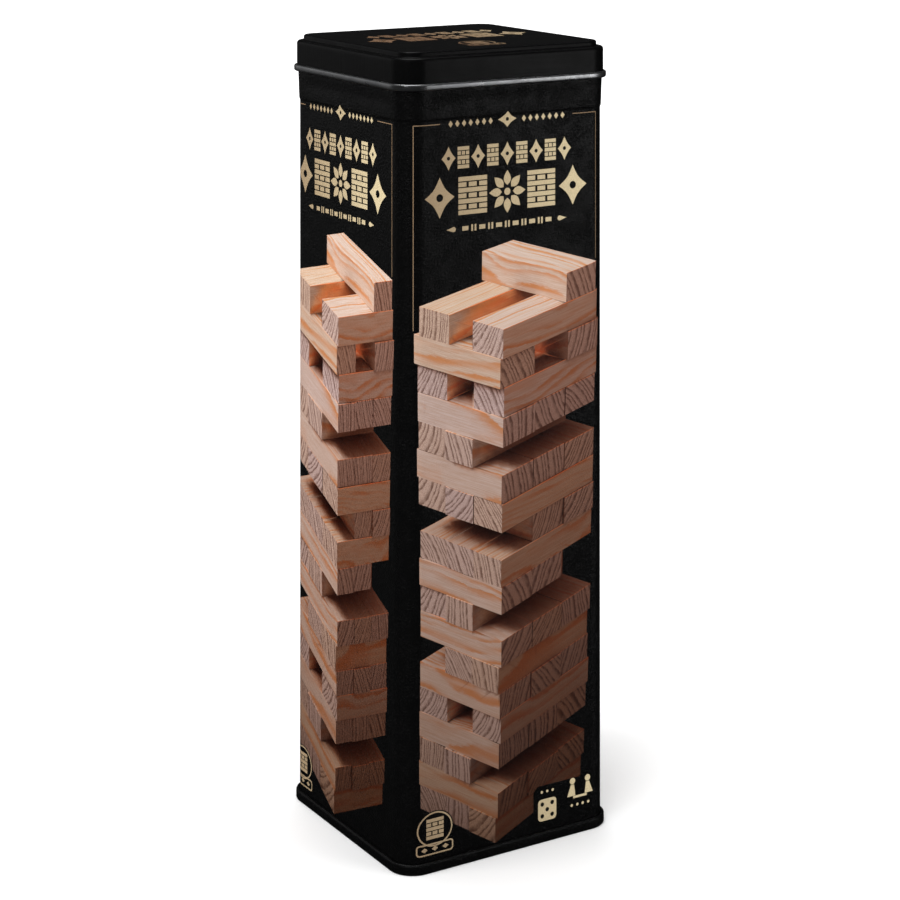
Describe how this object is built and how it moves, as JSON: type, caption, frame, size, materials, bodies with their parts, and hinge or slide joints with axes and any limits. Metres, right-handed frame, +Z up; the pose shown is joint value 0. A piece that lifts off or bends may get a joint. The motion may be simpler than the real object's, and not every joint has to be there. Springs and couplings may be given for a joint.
{
  "type": "table-top tumbling tower game in a storage tin",
  "caption": "Tall rounded-square tinplate storage tin with a slip lid, holding crossed tiers of plain wood blocks and a folded rules leaflet for a table-top tumbling tower game.",
  "frame": {"origin": "on the floor, under the middle of the closed tin", "axes": "+Z up through the lid; +X and +Y square to the flat walls; the walls that face -Y and -X are the right and left walls in the picture"},
  "size_m": [0.0852, 0.0852, 0.2708],
  "materials": {
    "printed_tin": "semi-gloss black print over a fine leather emboss",
    "bare_tinplate": "bright bare tinplate, on the lid's rolled edge and inside the tin",
    "gold_print": "flat metallic gold ink, pale at the top of each ornament",
    "pine": "sanded, unvarnished, with growth rings on the ends",
    "leaflet_paper": "uncoated, folded in three"
  },
  "bodies": {
    "tin": {"tin_body": "printed_tin", "tin_base": "printed_tin"},
    "tier_01_block_1": {"tier_01_block_1": "pine"},
    "tier_01_block_2": {"tier_01_block_2": "pine"},
    "tier_01_block_3": {"tier_01_block_3": "pine"},
    "tier_02_block_1": {"tier_02_block_1": "pine"},
    "tier_02_block_2": {"tier_02_block_2": "pine"},
    "tier_02_block_3": {"tier_02_block_3": "pine"},
    "tier_03_block_1": {"tier_03_block_1": "pine"},
    "tier_03_block_2": {"tier_03_block_2": "pine"},
    "tier_03_block_3": {"tier_03_block_3": "pine"},
    "tier_04_block_1": {"tier_04_block_1": "pine"},
    "tier_04_block_2": {"tier_04_block_2": "pine"},
    "tier_04_block_3": {"tier_04_block_3": "pine"},
    "tier_05_block_1": {"tier_05_block_1": "pine"},
    "tier_05_block_2": {"tier_05_block_2": "pine"},
    "tier_05_block_3": {"tier_05_block_3": "pine"},
    "tier_06_block_1": {"tier_06_block_1": "pine"},
    "tier_06_block_2": {"tier_06_block_2": "pine"},
    "tier_06_block_3": {"tier_06_block_3": "pine"},
    "tier_07_block_1": {"tier_07_block_1": "pine"},
    "tier_07_block_2": {"tier_07_block_2": "pine"},
    "tier_07_block_3": {"tier_07_block_3": "pine"},
    "tier_08_block_1": {"tier_08_block_1": "pine"},
    "tier_08_block_2": {"tier_08_block_2": "pine"},
    "tier_08_block_3": {"tier_08_block_3": "pine"},
    "tier_09_block_1": {"tier_09_block_1": "pine"},
    "tier_09_block_2": {"tier_09_block_2": "pine"},
    "tier_09_block_3": {"tier_09_block_3": "pine"},
    "tier_10_block_1": {"tier_10_block_1": "pine"},
    "tier_10_block_2": {"tier_10_block_2": "pine"},
    "tier_10_block_3": {"tier_10_block_3": "pine"},
    "tier_11_block_1": {"tier_11_block_1": "pine"},
    "tier_11_block_2": {"tier_11_block_2": "pine"},
    "tier_11_block_3": {"tier_11_block_3": "pine"},
    "tier_12_block_1": {"tier_12_block_1": "pine"},
    "tier_12_block_2": {"tier_12_block_2": "pine"},
    "tier_12_block_3": {"tier_12_block_3": "pine"},
    "tier_13_block_1": {"tier_13_block_1": "pine"},
    "tier_13_block_2": {"tier_13_block_2": "pine"},
    "tier_13_block_3": {"tier_13_block_3": "pine"},
    "tier_14_block_1": {"tier_14_block_1": "pine"},
    "tier_14_block_2": {"tier_14_block_2": "pine"},
    "tier_14_block_3": {"tier_14_block_3": "pine"},
    "tier_15_block_1": {"tier_15_block_1": "pine"},
    "tier_15_block_2": {"tier_15_block_2": "pine"},
    "tier_15_block_3": {"tier_15_block_3": "pine"},
    "tier_16_block_1": {"tier_16_block_1": "pine"},
    "tier_16_block_2": {"tier_16_block_2": "pine"},
    "tier_16_block_3": {"tier_16_block_3": "pine"},
    "leaflet": {"rules_leaflet": "leaflet_paper"},
    "lid": {"tin_lid": "printed_tin"}
  },
  "joints": [
    {"name": "lid_lift", "type": "slide", "parent": "leaflet", "child": "lid", "axis": [0, 0, 1], "range_m": [0, 0.06]},
    {"name": "leaflet_lift", "type": "slide", "parent": "tier_16_block_3", "child": "leaflet", "axis": [0, 0, 1], "range_m": [0, 0.03]},
    {"name": "tier_01_block_1_lift", "type": "slide", "parent": "tin", "child": "tier_01_block_1", "axis": [0, 0, 1], "range_m": [0, 0.278]},
    {"name": "tier_01_block_2_lift", "type": "slide", "parent": "tier_01_block_1", "child": "tier_01_block_2", "axis": [0, 0, 1], "range_m": [0, 0.278]},
    {"name": "tier_01_block_3_lift", "type": "slide", "parent": "tier_01_block_2", "child": "tier_01_block_3", "axis": [0, 0, 1], "range_m": [0, 0.278]},
    {"name": "tier_02_block_1_lift", "type": "slide", "parent": "tier_01_block_3", "child": "tier_02_block_1", "axis": [0, 0, 1], "range_m": [0, 0.262]},
    {"name": "tier_02_block_2_lift", "type": "slide", "parent": "tier_02_block_1", "child": "tier_02_block_2", "axis": [0, 0, 1], "range_m": [0, 0.262]},
    {"name": "tier_02_block_3_lift", "type": "slide", "parent": "tier_02_block_2", "child": "tier_02_block_3", "axis": [0, 0, 1], "range_m": [0, 0.262]},
    {"name": "tier_03_block_1_lift", "type": "slide", "parent": "tier_02_block_3", "child": "tier_03_block_1", "axis": [0, 0, 1], "range_m": [0, 0.246]},
    {"name": "tier_03_block_2_lift", "type": "slide", "parent": "tier_03_block_1", "child": "tier_03_block_2", "axis": [0, 0, 1], "range_m": [0, 0.246]},
    {"name": "tier_03_block_3_lift", "type": "slide", "parent": "tier_03_block_2", "child": "tier_03_block_3", "axis": [0, 0, 1], "range_m": [0, 0.246]},
    {"name": "tier_04_block_1_lift", "type": "slide", "parent": "tier_03_block_3", "child": "tier_04_block_1", "axis": [0, 0, 1], "range_m": [0, 0.23]},
    {"name": "tier_04_block_2_lift", "type": "slide", "parent": "tier_04_block_1", "child": "tier_04_block_2", "axis": [0, 0, 1], "range_m": [0, 0.23]},
    {"name": "tier_04_block_3_lift", "type": "slide", "parent": "tier_04_block_2", "child": "tier_04_block_3", "axis": [0, 0, 1], "range_m": [0, 0.23]},
    {"name": "tier_05_block_1_lift", "type": "slide", "parent": "tier_04_block_3", "child": "tier_05_block_1", "axis": [0, 0, 1], "range_m": [0, 0.214]},
    {"name": "tier_05_block_2_lift", "type": "slide", "parent": "tier_05_block_1", "child": "tier_05_block_2", "axis": [0, 0, 1], "range_m": [0, 0.214]},
    {"name": "tier_05_block_3_lift", "type": "slide", "parent": "tier_05_block_2", "child": "tier_05_block_3", "axis": [0, 0, 1], "range_m": [0, 0.214]},
    {"name": "tier_06_block_1_lift", "type": "slide", "parent": "tier_05_block_3", "child": "tier_06_block_1", "axis": [0, 0, 1], "range_m": [0, 0.198]},
    {"name": "tier_06_block_2_lift", "type": "slide", "parent": "tier_06_block_1", "child": "tier_06_block_2", "axis": [0, 0, 1], "range_m": [0, 0.198]},
    {"name": "tier_06_block_3_lift", "type": "slide", "parent": "tier_06_block_2", "child": "tier_06_block_3", "axis": [0, 0, 1], "range_m": [0, 0.198]},
    {"name": "tier_07_block_1_lift", "type": "slide", "parent": "tier_06_block_3", "child": "tier_07_block_1", "axis": [0, 0, 1], "range_m": [0, 0.182]},
    {"name": "tier_07_block_2_lift", "type": "slide", "parent": "tier_07_block_1", "child": "tier_07_block_2", "axis": [0, 0, 1], "range_m": [0, 0.182]},
    {"name": "tier_07_block_3_lift", "type": "slide", "parent": "tier_07_block_2", "child": "tier_07_block_3", "axis": [0, 0, 1], "range_m": [0, 0.182]},
    {"name": "tier_08_block_1_lift", "type": "slide", "parent": "tier_07_block_3", "child": "tier_08_block_1", "axis": [0, 0, 1], "range_m": [0, 0.166]},
    {"name": "tier_08_block_2_lift", "type": "slide", "parent": "tier_08_block_1", "child": "tier_08_block_2", "axis": [0, 0, 1], "range_m": [0, 0.166]},
    {"name": "tier_08_block_3_lift", "type": "slide", "parent": "tier_08_block_2", "child": "tier_08_block_3", "axis": [0, 0, 1], "range_m": [0, 0.166]},
    {"name": "tier_09_block_1_lift", "type": "slide", "parent": "tier_08_block_3", "child": "tier_09_block_1", "axis": [0, 0, 1], "range_m": [0, 0.149]},
    {"name": "tier_09_block_2_lift", "type": "slide", "parent": "tier_09_block_1", "child": "tier_09_block_2", "axis": [0, 0, 1], "range_m": [0, 0.149]},
    {"name": "tier_09_block_3_lift", "type": "slide", "parent": "tier_09_block_2", "child": "tier_09_block_3", "axis": [0, 0, 1], "range_m": [0, 0.149]},
    {"name": "tier_10_block_1_lift", "type": "slide", "parent": "tier_09_block_3", "child": "tier_10_block_1", "axis": [0, 0, 1], "range_m": [0, 0.133]},
    {"name": "tier_10_block_2_lift", "type": "slide", "parent": "tier_10_block_1", "child": "tier_10_block_2", "axis": [0, 0, 1], "range_m": [0, 0.133]},
    {"name": "tier_10_block_3_lift", "type": "slide", "parent": "tier_10_block_2", "child": "tier_10_block_3", "axis": [0, 0, 1], "range_m": [0, 0.133]},
    {"name": "tier_11_block_1_lift", "type": "slide", "parent": "tier_10_block_3", "child": "tier_11_block_1", "axis": [0, 0, 1], "range_m": [0, 0.117]},
    {"name": "tier_11_block_2_lift", "type": "slide", "parent": "tier_11_block_1", "child": "tier_11_block_2", "axis": [0, 0, 1], "range_m": [0, 0.117]},
    {"name": "tier_11_block_3_lift", "type": "slide", "parent": "tier_11_block_2", "child": "tier_11_block_3", "axis": [0, 0, 1], "range_m": [0, 0.117]},
    {"name": "tier_12_block_1_lift", "type": "slide", "parent": "tier_11_block_3", "child": "tier_12_block_1", "axis": [0, 0, 1], "range_m": [0, 0.101]},
    {"name": "tier_12_block_2_lift", "type": "slide", "parent": "tier_12_block_1", "child": "tier_12_block_2", "axis": [0, 0, 1], "range_m": [0, 0.101]},
    {"name": "tier_12_block_3_lift", "type": "slide", "parent": "tier_12_block_2", "child": "tier_12_block_3", "axis": [0, 0, 1], "range_m": [0, 0.101]},
    {"name": "tier_13_block_1_lift", "type": "slide", "parent": "tier_12_block_3", "child": "tier_13_block_1", "axis": [0, 0, 1], "range_m": [0, 0.085]},
    {"name": "tier_13_block_2_lift", "type": "slide", "parent": "tier_13_block_1", "child": "tier_13_block_2", "axis": [0, 0, 1], "range_m": [0, 0.085]},
    {"name": "tier_13_block_3_lift", "type": "slide", "parent": "tier_13_block_2", "child": "tier_13_block_3", "axis": [0, 0, 1], "range_m": [0, 0.085]},
    {"name": "tier_14_block_1_lift", "type": "slide", "parent": "tier_13_block_3", "child": "tier_14_block_1", "axis": [0, 0, 1], "range_m": [0, 0.069]},
    {"name": "tier_14_block_2_lift", "type": "slide", "parent": "tier_14_block_1", "child": "tier_14_block_2", "axis": [0, 0, 1], "range_m": [0, 0.069]},
    {"name": "tier_14_block_3_lift", "type": "slide", "parent": "tier_14_block_2", "child": "tier_14_block_3", "axis": [0, 0, 1], "range_m": [0, 0.069]},
    {"name": "tier_15_block_1_lift", "type": "slide", "parent": "tier_14_block_3", "child": "tier_15_block_1", "axis": [0, 0, 1], "range_m": [0, 0.053]},
    {"name": "tier_15_block_2_lift", "type": "slide", "parent": "tier_15_block_1", "child": "tier_15_block_2", "axis": [0, 0, 1], "range_m": [0, 0.053]},
    {"name": "tier_15_block_3_lift", "type": "slide", "parent": "tier_15_block_2", "child": "tier_15_block_3", "axis": [0, 0, 1], "range_m": [0, 0.053]},
    {"name": "tier_16_block_1_lift", "type": "slide", "parent": "tier_15_block_3", "child": "tier_16_block_1", "axis": [0, 0, 1], "range_m": [0, 0.037]},
    {"name": "tier_16_block_2_lift", "type": "slide", "parent": "tier_16_block_1", "child": "tier_16_block_2", "axis": [0, 0, 1], "range_m": [0, 0.037]},
    {"name": "tier_16_block_3_lift", "type": "slide", "parent": "tier_16_block_2", "child": "tier_16_block_3", "axis": [0, 0, 1], "range_m": [0, 0.037]}
  ]
}
